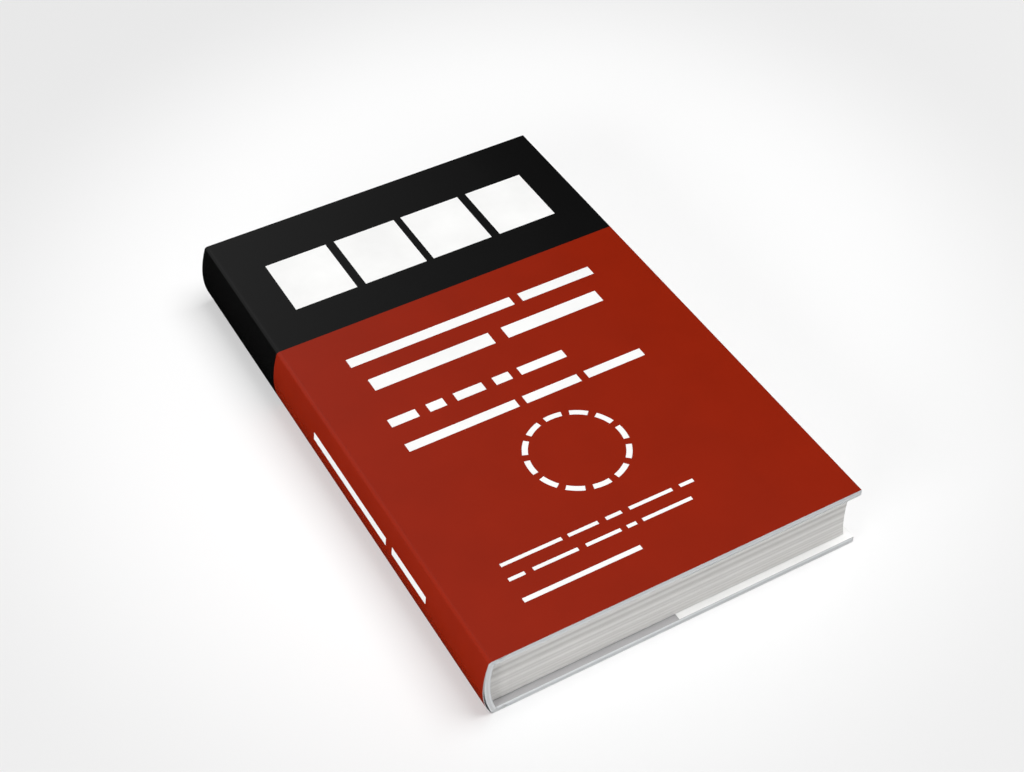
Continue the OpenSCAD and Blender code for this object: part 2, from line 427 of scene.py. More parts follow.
# Print on the front, in millimetres from the ridge and from the tail: height range, then runs
FRONT_ROWS = [
    (161.5, 187.5, [(14, 37), (40, 63.5), (66.5, 89.5), (92.5, 115)]),
    (126.4, 130.6, [(18, 79), (82.5, 110)]),
    (112.9, 118.6, [(19.7, 64), (69, 105.6)]),
    (95.4, 99.1, [(17, 27), (31, 37), (41, 51), (55, 61), (64.5, 81)]),
    (83.2, 86.8, [(17, 56.5), (59.5, 79.5), (82.5, 103.5)]),
    (28.4, 29.7, [(19.3, 40), (42.5, 53), (55.5, 61), (63.5, 79), (81.5, 86.7)]),
    (22.5, 23.8, [(18.7, 24.5), (27, 42.5), (45, 57), (59.5, 62.5), (65, 82.1)]),
    (13.6, 15.3, [(18.8, 59)]),
]
# Print on the spine: distance round the jacket from the ridge, then runs up from the tail
SPINE_ROW = (-11.0, -8.0, [(35, 57), (61, 112.4)])
RING_CENTRE, RING_RADII = (62.9, 57.8), (15.3, 17.2)
# The ring's dashes: their number, and as shares of one, how far they are turned and their length
RING_DASHES, RING_PHASE, RING_INKED = 12, 0.43, 0.7
BAND_FROM = 145.3
PRINT_TURN = 0.9  # how far the ink goes round the fore edge's fold
SPINE_RUN = 24.6  # way round the spine between its two ridges
# Lengths that the runs of a row are shares of
FRONT_LENGTH, SPINE_LENGTH = 140, 210


def stripe_mask(tree, value, low, high):
    """1 where value lies between low and high."""
    above = add_node(tree, "Math", {"operation": "GREATER_THAN"}, {0: value, 1: low})
    below = add_node(tree, "Math", {"operation": "LESS_THAN"}, {0: value, 1: high})
    both = {0: above.outputs[0], 1: below.outputs[0]}
    return add_node(tree, "Math", {"operation": "MULTIPLY"}, both).outputs[0]


def row_mask(tree, run, rise, row, scale):
    """1 inside the runs of one printed row. run is 0 to 1 over scale millimetres."""
    low, high, runs = row
    ramp = add_node(tree, "ValToRGB", {}, {"Fac": run})
    stops = [(0.0, grey(0))]
    for start, end in runs:
        stops += [(start / scale, grey(1)), (end / scale, grey(0))]
    set_ramp(ramp, stops, "CONSTANT")
    inside = stripe_mask(tree, rise, low, high)
    both = {0: ramp.outputs[0], 1: inside}
    return add_node(tree, "Math", {"operation": "MULTIPLY"}, both).outputs[0]


def ring_mask(tree, u, v):
    """1 on the dashes of the plain ring."""
    x = add_node(tree, "Math", {"operation": "SUBTRACT"}, {0: u, 1: RING_CENTRE[0]}).outputs[0]
    y = add_node(tree, "Math", {"operation": "SUBTRACT"}, {0: v, 1: RING_CENTRE[1]}).outputs[0]
    place = add_node(tree, "CombineXYZ", {}, {"X": x, "Y": y}).outputs[0]
    radius = add_node(tree, "VectorMath", {"operation": "LENGTH"}, {0: place}).outputs["Value"]
    angle = add_node(tree, "Math", {"operation": "ARCTAN2"}, {0: y, 1: x}).outputs[0]
    turns = add_node(
        tree, "Math", {"operation": "MULTIPLY_ADD"},
        {0: angle, 1: RING_DASHES / math.tau, 2: RING_PHASE},
    ).outputs[0]
    share = add_node(tree, "Math", {"operation": "FRACT"}, {0: turns}).outputs[0]
    dash = add_node(tree, "Math", {"operation": "LESS_THAN"}, {0: share, 1: RING_INKED}).outputs[0]
    ring = stripe_mask(tree, radius, *RING_RADII)
    return add_node(tree, "Math", {"operation": "MULTIPLY"}, {0: dash, 1: ring}).outputs[0]


def laminated_print():
    """Coated art paper, offset printed and film laminated: deep flat ink under a satin skin."""
    colours = bpy.context.scene.book_colours
    material, tree, surface = new_material("laminated_print")
    flat = add_node(tree, "UVMap", {"uv_map": "flat"}, {}).outputs[0]
    parts = add_node(tree, "SeparateXYZ", {}, {0: flat})
    u = add_node(
        tree, "Math", {"operation": "MULTIPLY"}, {0: parts.outputs[0], 1: 1 / MM}
    ).outputs[0]
    v = add_node(
        tree, "Math", {"operation": "MULTIPLY_ADD"},
        {0: parts.outputs[1], 1: 1 / MM, 2: COVER_HALF / MM},
    ).outputs[0]
    across = add_node(
        tree, "Math", {"operation": "MULTIPLY"}, {0: u, 1: 1 / FRONT_LENGTH}
    ).outputs[0]
    upward = add_node(
        tree, "Math", {"operation": "MULTIPLY"}, {0: v, 1: 1 / SPINE_LENGTH}
    ).outputs[0]
    marks = [row_mask(tree, across, v, row, FRONT_LENGTH) for row in FRONT_ROWS]
    marks.append(row_mask(tree, upward, u, SPINE_ROW, SPINE_LENGTH))
    marks.append(ring_mask(tree, u, v))
    mark = marks[0]
    for other in marks[1:]:
        mark = add_node(tree, "Math", {"operation": "MAXIMUM"}, {0: mark, 1: other}).outputs[0]
    in_band = add_node(
        tree, "Math", {"operation": "GREATER_THAN"}, {0: v, 1: BAND_FROM}
    ).outputs[0]
    field = add_node(
        tree, "MixRGB", {},
        {"Fac": in_band, "Color1": colours.body[:], "Color2": colours.band[:]},
    ).outputs[0]
    front_end = (FORE - RIDGE) / MM + PRINT_TURN
    printed = stripe_mask(tree, u, -front_end - SPINE_RUN, front_end)
    bare = add_node(tree, "Math", {"operation": "SUBTRACT"}, {0: 1.0, 1: printed}).outputs[0]
    mark = add_node(tree, "Math", {"operation": "MAXIMUM"}, {0: mark, 1: bare}).outputs[0]
    print_mix = add_node(
        tree, "MixRGB", {}, {"Fac": mark, "Color1": field, "Color2": colours.ink[:]}
    ).outputs[0]
    # Ink lies a little uneven over centimetres, as large solids do
    cloud = add_node(
        tree, "TexNoise", {}, {"Vector": flat, "Scale": 45.0, "Detail": 3.0, "Roughness": 0.55}
    ).outputs[0]
    tone = add_node(
        tree, "MapRange", {},
        {"Value": cloud, "From Min": 0.3, "From Max": 0.7, "To Min": 0.96, "To Max": 1.04},
    ).outputs[0]
    toned = add_node(
        tree, "MixRGB", {"blend_type": "MULTIPLY"},
        {"Fac": 1.0, "Color1": print_mix, "Color2": tone},
    ).outputs[0]
    tree.links.new(toned, surface.inputs["Base Color"])
    # The film's skin: a fine orange peel of about 0.5 mm
    peel = add_node(
        tree, "TexNoise", {}, {"Vector": flat, "Scale": 2200.0, "Detail": 2.0, "Roughness": 0.5}
    ).outputs[0]
    rough = add_node(
        tree, "MapRange", {},
        {"Value": peel, "From Min": 0.3, "From Max": 0.7, "To Min": 0.2, "To Max": 0.27},
    ).outputs[0]
    tree.links.new(rough, surface.inputs["Roughness"])
    bump = add_node(tree, "Bump", {}, {"Strength": 0.12, "Distance": 0.02 * MM, "Height": peel})
    tree.links.new(bump.outputs[0], surface.inputs["Normal"])
    surface.inputs["IOR"].default_value = 1.4
    return material


def plain_paper(name, base, fibre_scale, roughness, mapped=False, turned_in=None, cut=None):
    """Paper with no film on it: matt, with a grain of short fibres that lie at random.
    fibre_scale is in clumps of fibre to the metre: 0.7 to 0.9 mm wide, coarser than life so that
    they show. The turned-in colour is the one inside a cover, where it is painted shade; cut is
    that of a flat sheet's upright edges."""
    material, tree, surface = new_material(name)
    base = tuple(base)
    if turned_in:
        # The sheet turned in round a board: a painted highlight along the inner edge of its end, and
        # painted shade, a duller grey, on the margin inside the cover
        inside = add_node(tree, "Attribute", {"attribute_name": "inside"}, {}).outputs["Fac"]
        ramp = add_node(tree, "ValToRGB", {}, {"Fac": inside})
        painted_highlight = tuple(min(c * 1.18, 1.0) for c in base)
        set_ramp(ramp, [(0.5, base), (0.68, painted_highlight), (0.93, painted_highlight), (0.98, tuple(turned_in))])
        base = ramp.outputs[0]
    if cut:
        facing = add_node(tree, "TexCoord", {}, {}).outputs["Normal"]
        upward = add_node(tree, "SeparateXYZ", {}, {0: facing}).outputs[2]
        upward = add_node(tree, "Math", {"operation": "ABSOLUTE"}, {0: upward}).outputs[0]
        on_edge = add_node(
            tree, "Math", {"operation": "LESS_THAN"}, {0: upward, 1: 0.5}
        ).outputs[0]
        base = add_node(
            tree, "MixRGB", {}, {"Fac": on_edge, "Color1": base, "Color2": tuple(cut)}
        ).outputs[0]
    if mapped:
        place = add_node(tree, "UVMap", {"uv_map": "flat"}, {}).outputs[0]
    else:
        place = add_node(tree, "TexCoord", {}, {}).outputs["Object"]
    fibres = add_node(
        tree, "TexNoise", {},
        {"Vector": place, "Scale": fibre_scale, "Detail": 4.0, "Roughness": 0.65},
    ).outputs[0]
    # The sheet formed thicker and thinner, in clouds of about 11 mm
    cloud = add_node(
        tree, "TexNoise", {}, {"Vector": place, "Scale": 90.0, "Detail": 2.0}
    ).outputs[0]
    blend = add_node(tree, "Math", {"operation": "ADD"}, {0: fibres, 1: cloud}).outputs[0]
    tone = add_node(
        tree, "MapRange", {},
        {"Value": blend, "From Min": 0.7, "From Max": 1.3, "To Min": 0.965, "To Max": 1.02},
    ).outputs[0]
    toned = add_node(
        tree, "MixRGB", {"blend_type": "MULTIPLY"}, {"Fac": 1.0, "Color1": base, "Color2": tone}
    ).outputs[0]
    tree.links.new(toned, surface.inputs["Base Color"])
    bump = add_node(tree, "Bump", {}, {"Strength": 0.25, "Distance": 0.03 * MM, "Height": fibres})
    tree.links.new(bump.outputs[0], surface.inputs["Normal"])
    surface.inputs["Roughness"].default_value = roughness
    return material


# Heights of the light and dark bands in the cut edges, in millimetres, and their lightness. From
# 17.6 mm up they are held at full lightness, as painted light against the shade under the front
# cover's edge
LEAF_BANDS_AND_LIGHT = [
    (2.6, 0.4), (3.5, 0.6), (4.2, 0.15), (5.0, 0.6), (5.6, 0.25), (6.2, 0.65), (6.8, 0.2),
    (7.4, 0.5), (7.9, 0.3), (8.7, 0.85), (9.6, 0.2), (10.2, 0.5), (10.9, 0.2), (11.8, 0.85),
    (13.0, 0.4), (14.0, 0.0), (15.2, 0.85), (15.8, 0.6), (16.6, 0.0), (17.6, 1.0), (21.0, 1.0),
]
BAND_WANDER = 0.3 * MM  # how far a band rises and falls along the block
SPINE_LIGHT_REACH = 8 * MM  # how far from the ridge the cut edges are painted lighter


def leaf_edges():
    """Trimmed book paper: fine lines along the leaves, in soft bands where sections lie tighter.
    Near the top and near the spine they are painted lighter against the shade there.
    """
    colours = bpy.context.scene.book_colours
    material, tree, surface = new_material("leaf_edges")
    place = add_node(tree, "TexCoord", {}, {}).outputs["Object"]
    # The bands rise and fall over about 11 cm along the block
    drift = add_node(
        tree, "Mapping", {}, {"Vector": place, "Scale": (9.0, 9.0, 60.0)}
    ).outputs[0]
    wander = add_node(
        tree, "TexNoise", {}, {"Vector": drift, "Scale": 1.0, "Detail": 1.0}
    ).outputs[0]
    shift = add_node(
        tree, "Math", {"operation": "MULTIPLY_ADD"},
        {0: wander, 1: BAND_WANDER, 2: -BAND_WANDER / 2},
    ).outputs[0]
    height = add_node(tree, "SeparateXYZ", {}, {0: place}).outputs[2]
    level = add_node(tree, "Math", {"operation": "ADD"}, {0: height, 1: shift}).outputs[0]
    share = add_node(tree, "Math", {"operation": "MULTIPLY"}, {0: level, 1: 1 / TOP}).outputs[0]
    ramp = add_node(tree, "ValToRGB", {}, {"Fac": share})
    set_ramp(ramp, [(z * MM / TOP, grey(tone)) for z, tone in LEAF_BANDS_AND_LIGHT])
    # Single leaves, drawn about 0.25 mm thick so that they show
    thin = add_node(
        tree, "Mapping", {}, {"Vector": place, "Scale": (14.0, 14.0, 4200.0)}
    ).outputs[0]
    lines = add_node(
        tree, "TexNoise", {}, {"Vector": thin, "Scale": 1.0, "Detail": 3.0, "Roughness": 0.6}
    ).outputs[0]
    mix = add_node(
        tree, "MixRGB", {}, {"Fac": 0.3, "Color1": ramp.outputs[0], "Color2": lines}
    ).outputs[0]
    tone = add_node(
        tree, "MixRGB", {},
        {"Fac": mix, "Color1": colours.leaves_dark[:], "Color2": colours.leaves[:]},
    ).outputs[0]
    # Painted light: the cut edges are painted lighter towards the spine, against the shade in the
    # corner by the case's spine
    along = add_node(tree, "SeparateXYZ", {}, {0: place}).outputs[0]
    reach = {"From Min": RIDGE, "From Max": RIDGE + SPINE_LIGHT_REACH}
    painted_spine_light = add_node(
        tree, "MapRange", {}, {"Value": along, **reach, "To Min": 1.22, "To Max": 1.0}
    ).outputs[0]
    toned = add_node(
        tree, "MixRGB", {"blend_type": "MULTIPLY"}, {"Fac": 1.0, "Color1": tone, "Color2": painted_spine_light}
    ).outputs[0]
    tree.links.new(toned, surface.inputs["Base Color"])
    bump = add_node(tree, "Bump", {}, {"Strength": 0.5, "Distance": 0.05 * MM, "Height": lines})
    tree.links.new(bump.outputs[0], surface.inputs["Normal"])
    surface.inputs["Roughness"].default_value = 0.85
    return material


WEAVE_SCALE = 1000 / 6.3  # threads 2 mm apart, twice as coarse as real ones, so that they show


def mull_cloth():
    """Open-weave lining cloth of cotton: separate threads, dull and stiff with dry glue."""
    colours = bpy.context.scene.book_colours
    material, tree, surface = new_material("mull_cloth")
    place = add_node(tree, "TexCoord", {}, {}).outputs["Object"]
    threads = []
    for direction in ("Y", "Z"):
        wave = add_node(
            tree, "TexWave", {"bands_direction": direction},
            {"Vector": place, "Scale": WEAVE_SCALE, "Distortion": 0.6},
        )
        threads.append(wave.outputs[1])
    weave = add_node(
        tree, "Math", {"operation": "MAXIMUM"}, {0: threads[0], 1: threads[1]}
    ).outputs[0]
    ramp = add_node(tree, "ValToRGB", {}, {"Fac": weave})
    dark = tuple(c * 0.55 for c in colours.cloth[:3]) + (1.0,)
    set_ramp(ramp, [(0.3, dark), (0.75, tuple(colours.cloth))])
    tree.links.new(ramp.outputs[0], surface.inputs["Base Color"])
    bump = add_node(tree, "Bump", {}, {"Strength": 0.6, "Distance": 0.1 * MM, "Height": weave})
    tree.links.new(bump.outputs[0], surface.inputs["Normal"])
    surface.inputs["Roughness"].default_value = 0.9
    return material


def shared(name, make):
    """The named material, made the first time that a piece asks for it.
    No CAD material has its name."""
    return bpy.data.materials.get(name) or make()


def shared_paper(name, **details):
    """The named kind of paper, with the details that plain_paper takes."""
    return shared(name, lambda: plain_paper(name, **details))


def case_paper():
    """Matt coated paper glued over board: a pale face with the faintest sheen. Its ends carry a
    painted highlight along their inner edge, and its turned-in margin is painted darker as shade.
    """
    colours = bpy.context.scene.book_colours
    return shared_paper(
        "matt_case_paper", base=colours.case, fibre_scale=1500.0, roughness=0.6,
        turned_in=colours.turned_in,
    )


def endpaper_paper():
    """Uncoated cartridge paper: dull, with a little grain and no sheen."""
    colours = bpy.context.scene.book_colours
    return shared_paper(
        "endpaper_paper", base=colours.endpaper, fibre_scale=1100.0, roughness=0.75
    )


def flyleaf_paper():
    """The endpaper's loose half: its cut edges look like those of the leaves that it lies on."""
    colours = bpy.context.scene.book_colours
    return shared_paper(
        "flyleaf_paper", base=colours.endpaper, fibre_scale=1100.0, roughness=0.75,
        cut=colours.leaves,
    )


def jacket_paper():
    """The unprinted back of the jacket's coated sheet: bright, smooth and matt."""
    colours = bpy.context.scene.book_colours
    return shared_paper(
        "white_jacket_paper", base=colours.paper, fibre_scale=1300.0, roughness=0.6, mapped=True
    )


def jacket_edge():
    """The knife's cut through the laminated sheet: dull as a cut is, and painted greyer than its faces
    as shade, for the shadow line under the flap's edge.
    """
    colours = bpy.context.scene.book_colours
    return shared_paper(
        "cut_jacket_edge", base=colours.cut_edge_and_shade, fibre_scale=1300.0, roughness=0.8
    )


# Pieces


def spine_side(apex, radius, half, corner):
    """Outline round the spine, from its lower flat to its upper flat: an arc that is outermost
    at X apex, between two rounded corners at half above and below the middle."""
    centre = apex + radius
    rise = half - corner
    reach = math.sqrt((radius - corner) ** 2 - rise**2)
    tilt = math.degrees(math.asin(rise / (radius - corner)))
    return (
        arc(centre - reach, MIDDLE - rise, corner, 270, 180 + tilt, RIDGE_STEPS)
        + arc(centre, MIDDLE, radius, 180 + tilt, 180 - tilt, SPINE_STEPS)[1:-1]
        + arc(centre - reach, MIDDLE + rise, corner, 180 - tilt, 90, RIDGE_STEPS)
    )


class BOOK_OT_leaves(bpy.types.Operator):
    """Builds the leaves: a trimmed block, rounded at the spine and hollow at the fore edge"""

    bl_idname = "book.leaves"
    bl_label = "Leaves"

    def execute(self, context):
        sizes = context.scene.book_sizes
        draw = random.Random(7)
        half = PAGES_TOP - MIDDLE
        fore_radius = (half**2 + FORE_HOLLOW**2) / (2 * FORE_HOLLOW)
        fore_centre = LEAF_FORE - FORE_HOLLOW + fore_radius

        def outline(z, inset):
            """Back, fore and end places of the block at a height from its middle."""
            back = SPINE_CENTRE - math.sqrt(BLOCK_RADIUS**2 - z**2)
            fore = fore_centre - math.sqrt(fore_radius**2 - z**2)
            return back + inset, fore - inset, LEAF_HALF - inset

        bundle = 2 * half / BUNDLES
        levels = [(-half, 0.0)]
        for i in range(BUNDLES):
            ends_section = (i + 1) % BUNDLES_A_SECTION == 0
            inset = draw.uniform(0, 1) * sizes.leaf_lift
            if ends_section:
                inset += SECTION_STEP
            low = -half + i * bundle
            levels += [(low + share * bundle, inset) for share in BUNDLE_FACE]
            if i < BUNDLES - 1:
                nip = SECTION_NIP if ends_section else BUNDLE_NIP
                levels.append((low + bundle, inset + nip))
        levels.append((half, 0.0))
        back, fore, end = outline(*levels[0])
        piece = start_edge("leaves", (back, -end, MIDDLE - half), (back, end, MIDDLE - half))
        extrude((fore - back, 0, 0))
        for z, inset in levels[1:]:
            bpy.ops.mesh.select_all(action="DESELECT")
            mesh = bmesh.from_edit_mesh(piece.data)
            top = max(v.co.z for v in mesh.verts)
            for vert in mesh.verts:
                vert.select_set(vert.co.z > top - SAME_PLACE)
            mesh.select_flush(True)
            extrude((0, 0, MIDDLE + z - top))
            back, fore, end = outline(z, inset)
            mesh = bmesh.from_edit_mesh(piece.data)
            moved = [v for v in mesh.verts if v.select]
            centre_x = sum(v.co.x for v in moved) / len(moved)
            for vert in moved:
                vert.co.x = back if vert.co.x < centre_x else fore
                vert.co.y = math.copysign(end, vert.co.y)
            bmesh.update_edit_mesh(piece.data)
        bpy.ops.mesh.select_all(action="SELECT")
        bpy.ops.mesh.normals_make_consistent(inside=False)
        finish_piece(piece, [shared("leaf_edges", leaf_edges)], smooth=25)
        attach(piece, "book_block")
        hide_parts("page_block")
        return {"FINISHED"}


class BOOK_OT_endpapers(bpy.types.Operator):
    """Builds the pasted-down endpapers, which fold up from the block's shoulders"""

    bl_idname = "book.endpapers"
    bl_label = "Endpapers"

    def execute(self, context):
        sizes = context.scene.book_sizes
        face = PASTE_UNDER + HAIR
        fold_radius = (face - BLOCK_TOP - HAIR) / 2
        fold = arc(
            SHOULDER + FOLD_OUT, face - fold_radius, fold_radius, FOLD_FROM, 90, FOLD_STEPS
        )
        step_x = BOARD_FORE - sizes.turn_in
        step_y = COVER_HALF - sizes.turn_in
        path = fold + [(SHOULDER + d * MM, face) for d in ENDPAPER_CUTS]
        path += [(step_x - STEP_SLOPE, face), (step_x + STEP_SLOPE, face), (LEAF_FORE, face)]
        head = [step_y - STEP_SLOPE, step_y + STEP_SLOPE, LEAF_HALF]
        stations = [-y for y in reversed(head)] + [0] + head
        for side, body, turn, away in (
            ("front", "front_cover", lambda p: p, 1),
            ("back", "back_cover", mirrored, -1),
        ):
            line = turn(path)
            piece = drawn_sheet(side + "_endpaper", line, stations, (1, 0, 0))
            bpy.ops.mesh.select_all(action="DESELECT")
            mesh = bmesh.from_edit_mesh(piece.data)
            near = SHOULDER + JOINT_STRIP
            for vert in mesh.verts:
                inside = near < vert.co.x < step_x and abs(vert.co.y) < step_y
                vert.select_set(inside)
            mesh.select_flush(True)
            bpy.ops.transform.translate(value=(0, 0, away * sizes.turn_in_step))
            lay_flat_map(piece, line, 0.0)
            give_thickness(piece, sizes.endpaper - 2 * HAIR)
            finish_piece(piece, [endpaper_paper()] * 3)
            near_block = (SHOULDER + 1.0 * MM, 0, MIDDLE)
            near_board = (BOARD_NEAR, 0, MIDDLE)
            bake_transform(piece, "book_block", body, near_block, near_board)
            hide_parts(side + "_pastedown")
            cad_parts[side + "_flyleaf"].material_slots[0].material = flyleaf_paper()
        return {"FINISHED"}


class BOOK_OT_case(bpy.types.Operator):
    """Builds the case: boards and spine in one covering sheet, with a groove at each joint"""

    bl_idname = "book.case"
    bl_label = "Case"

    def execute(self, context):
        sizes = context.scene.book_sizes
        top, under = CASE_TOP - HAIR, CASE_UNDER
        outer_half, inner_half = top - MIDDLE, under - MIDDLE

        def spine_outlines(inset):
            """Outer and inner outline of the case's spine, shrunk by inset."""
            outer = spine_side(
                SPINE_CENTRE - CASE_RADIUS + inset, CASE_RADIUS - inset,
                outer_half - inset, sizes.case_ridge - inset,
            )
            inner = spine_side(
                SPINE_CENTRE - CASE_INNER_RADIUS - inset, CASE_INNER_RADIUS + inset,
                inner_half + inset, CASE_INNER_CORNER + inset,
            )
            return tuple(
                [(SHOULDER, MIDDLE - half)] + side + [(SHOULDER, MIDDLE + half)]
                for side, half in ((outer, outer_half - inset), (inner, inner_half + inset))
            )

        rounding = sizes.case_edge * END_ROUNDING
        piece = thick_band("spine_case", spine_outlines, COVER_HALF, rounding)
        finish_piece(piece, [case_paper()])
        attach(piece, "book_block")
        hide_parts("spine_wrap", "spine_board")

        def groove(x):
            """Depth of the joint groove at a distance from the shoulder."""
            start, end = sizes.groove_start, sizes.groove_end
            slope = GROOVE_SLOPE * (end - start)
            d = x + TO_SHOULDER
            rise = min(max((d - start) / slope, 0), 1) * min(max((end - d) / slope, 0), 1)
            return sizes.groove_depth * rise * rise * (3 - 2 * rise)

        end_x = FORE - sizes.jacket_paper - HAIR
        corner = sizes.case_edge
        steps = [d * MM for d in CASE_CUTS]

        def cover_outlines(inset):
            """Outer and inner outline of a cover, shrunk by inset."""
            outer = [(SHOULDER + d, top - groove(d) - inset) for d in steps]
            inner = [(SHOULDER + d, under + inset) for d in steps]
            outer += arc(end_x - corner, top - corner, corner - inset, 90, 0, FOLD_STEPS)
            inner += arc(end_x - corner, under + corner, corner - inset, -90, 0, FOLD_STEPS)
            return outer, inner

        def back_outlines(inset):
            """The same for the back cover."""
            return tuple(mirrored(side) for side in cover_outlines(inset))

        for side, body, outlines in (
            ("front", "front_cover", cover_outlines),
            ("back", "back_cover", back_outlines),
        ):
            piece = thick_band(side + "_case", outlines, COVER_HALF, rounding)
            finish_piece(piece, [case_paper()])
            start, end = (SHOULDER, 0, MIDDLE), (SHOULDER + CASE_TURN, 0, MIDDLE)
            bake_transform(piece, "book_block", body, start, end)
            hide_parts(side + "_wrap", side + "_board")
        return {"FINISHED"}


class BOOK_OT_jacket(bpy.types.Operator):
    """Builds the dust jacket: spine, covers and the flaps folded round the fore edges"""

    bl_idname = "book.jacket"
    bl_label = "Jacket"

    def execute(self, context):
        sizes = context.scene.book_sizes
        paper = sizes.jacket_paper
        outside = shared("laminated_print", laminated_print)
        stations = [
            -COVER_HALF + 2 * COVER_HALF * i / JACKET_STATIONS for i in range(JACKET_STATIONS + 1)
        ]
        spine = spine_side(RIDGE - JACKET_BULGE, JACKET_RADIUS, MIDDLE, sizes.jacket_ridge)
        spine = [(SHOULDER, 0.0)] + spine + [(SHOULDER, TOP)]
        spine_run = sum(math.dist(a, b) for a, b in zip(spine, spine[1:]))
        piece = drawn_sheet("spine_jacket", spine, stations, (0, 0, -1))
        lay_flat_map(piece, spine, TO_SHOULDER - spine_run)
        mesh = bmesh.from_edit_mesh(piece.data)
        for vert in mesh.verts:
            if vert.co.x < RIDGE:
                share = (vert.co.y + COVER_HALF) / (2 * COVER_HALF)
                keep = sizes.tail_bulge + (sizes.head_bulge - sizes.tail_bulge) * share
                keep *= 1 - sizes.low_bulge * (vert.co.z / MIDDLE - 1)
                rise = vert.co.z - MIDDLE
                case_face = SPINE_CENTRE - math.sqrt(CASE_RADIUS**2 - rise**2)
                vert.co.x = min(RIDGE + (vert.co.x - RIDGE) * keep, case_face - paper - 3 * HAIR)
        bmesh.update_edit_mesh(piece.data)
        give_thickness(piece, paper)
        finish_piece(piece, [outside, jacket_paper(), jacket_edge()])
        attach(piece, "book_block")
        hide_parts("jacket_spine")

        fold = paper + JACKET_FOLD
        path = [(SHOULDER + d * MM, TOP) for d in JACKET_CUTS]
        path += arc(FORE - fold, TOP - fold, fold, 90, 0, FOLD_STEPS)
        path += arc(FORE - fold, FLAP_UNDER + fold, fold, 0, -90, FOLD_STEPS)
        path += [(FORE - sizes.flap_width, FLAP_UNDER)]
        for side, body, line, begin, up in (
            ("front", "front_cover", path, TO_SHOULDER, 1),
            ("back", "back_cover", mirrored(path), TO_SHOULDER - spine_run, -1),
        ):
            piece = drawn_sheet(side + "_jacket", line, stations, (0, 0, up))
            lay_flat_map(piece, line, begin)
            if up < 0:
                # The layout runs on from the spine the other way
                mesh = bmesh.from_edit_mesh(piece.data)
                flat = mesh.loops.layers.uv["flat"]
                for face in mesh.faces:
                    for loop in face.loops:
                        loop[flat].uv.x = 2 * begin - loop[flat].uv.x
            give_thickness(piece, paper - HAIR)
            finish_piece(piece, [outside, jacket_paper(), jacket_edge()])
            start, end = (SHOULDER, 0, MIDDLE), (SHOULDER + JACKET_TURN, 0, MIDDLE)
            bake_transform(piece, "book_block", body, start, end)
            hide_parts("jacket_" + side)
        return {"FINISHED"}


class BOOK_OT_lining(bpy.types.Operator):
    """Gives the cloth on the spine of the leaves its weave"""

    bl_idname = "book.lining"
    bl_label = "Spine lining"

    def execute(self, context):
        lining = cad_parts["spine_lining"]
        lining.material_slots[0].material = shared("mull_cloth", mull_cloth)
        return {"FINISHED"}


# Stage

CAMERA_PLACE = (-0.19518, -0.36763, 0.42262)
CAMERA_FORWARD = (0.33715, 0.62756, -0.70178)
CAMERA_RIGHT = (0.87196, -0.48923, -0.01858)
CAMERA_LENS = 61.95

# The pool of light on the floor: an ellipse that lies across the view, in metres, turned by
# some degrees. It fades from a share of its radii to a level at its edge
POOL_CENTRE, POOL_RADII, POOL_TURN = (0.027, 0.045, 0.0), (0.226, 0.252, 1.0), -28.3
POOL_FROM, POOL_EDGE = 0.51, 0.847
FLOOR_SIZE = 6.0
FLOOR_DROP = 0.05 * MM  # room between the floor and what lies on it
FLOOR_LEVEL = 0.88  # what the floor reflects
WALL_LEVEL = 0.84  # what the camera sees behind the floor

# Lamps: place and size in metres, and watts
KEY_LIGHT = (0.8, -0.3, 2.2), 1.5, 48.5
SPINE_FILL = (-1.3, -0.5, 0.34), 0.8, 14.0


def add_area(name, place, size, power):
    """A square soft lamp that looks at the book from its place."""
    clear_selection()
    bpy.ops.object.light_add(type="AREA", location=place)
    lamp = bpy.context.object
    lamp.name = name
    lamp.data.shape = "SQUARE"
    lamp.data.size = size
    lamp.data.energy = power
    lamp.rotation_euler = (-Vector(place)).to_track_quat("-Z", "Y").to_euler()
    return lamp


def floor_paper():
    """Seamless white studio paper: matt, with a pool of light that fades outwards."""
    material = bpy.data.materials.new("floor_paper")
    material.use_nodes = True
    tree = material.node_tree
    tree.nodes.clear()
    base = bpy.context.scene.book_colours.floor[:]
    place = add_node(tree, "TexCoord", {}, {}).outputs["Object"]
    turn = (0, 0, math.radians(POOL_TURN))
    pool = add_node(
        tree, "Mapping", {"vector_type": "TEXTURE"},
        {"Vector": place, "Location": POOL_CENTRE, "Rotation": turn, "Scale": POOL_RADII},
    ).outputs[0]
    distance = add_node(tree, "VectorMath", {"operation": "LENGTH"}, {0: pool}).outputs["Value"]
    fade = {"From Min": POOL_FROM, "From Max": 1.0, "To Min": 1.0, "To Max": POOL_EDGE}
    tone = add_node(
        tree, "MapRange", {"interpolation_type": "SMOOTHSTEP"}, {"Value": distance, **fade}
    ).outputs[0]
    seen = add_node(
        tree, "MixRGB", {"blend_type": "MULTIPLY"}, {"Fac": 1.0, "Color1": base, "Color2": tone}
    ).outputs[0]
    path = add_node(tree, "LightPath", {}, {}).outputs["Is Camera Ray"]
    paper = add_node(
        tree, "MixRGB", {}, {"Fac": path, "Color1": grey(FLOOR_LEVEL), "Color2": seen}
    ).outputs[0]
    lit = add_node(tree, "BsdfDiffuse", {}, {"Color": paper})
    glow = add_node(tree, "Emission", {}, {"Color": seen, "Strength": 1.0})
    # Far off the paper fades into the wall behind it
    share = add_node(
        tree, "MapRange", {},
        {"Value": distance, "From Min": 2.0, "From Max": 6.0, "To Min": 0.45, "To Max": 1.0},
    ).outputs[0]
    share = add_node(tree, "Math", {"operation": "MULTIPLY"}, {0: path, 1: share}).outputs[0]
    both = add_node(tree, "MixShader", {}, {0: share, 1: lit.outputs[0], 2: glow.outputs[0]})
    add_node(tree, "OutputMaterial", {}, {"Surface": both.outputs[0]})
    return material


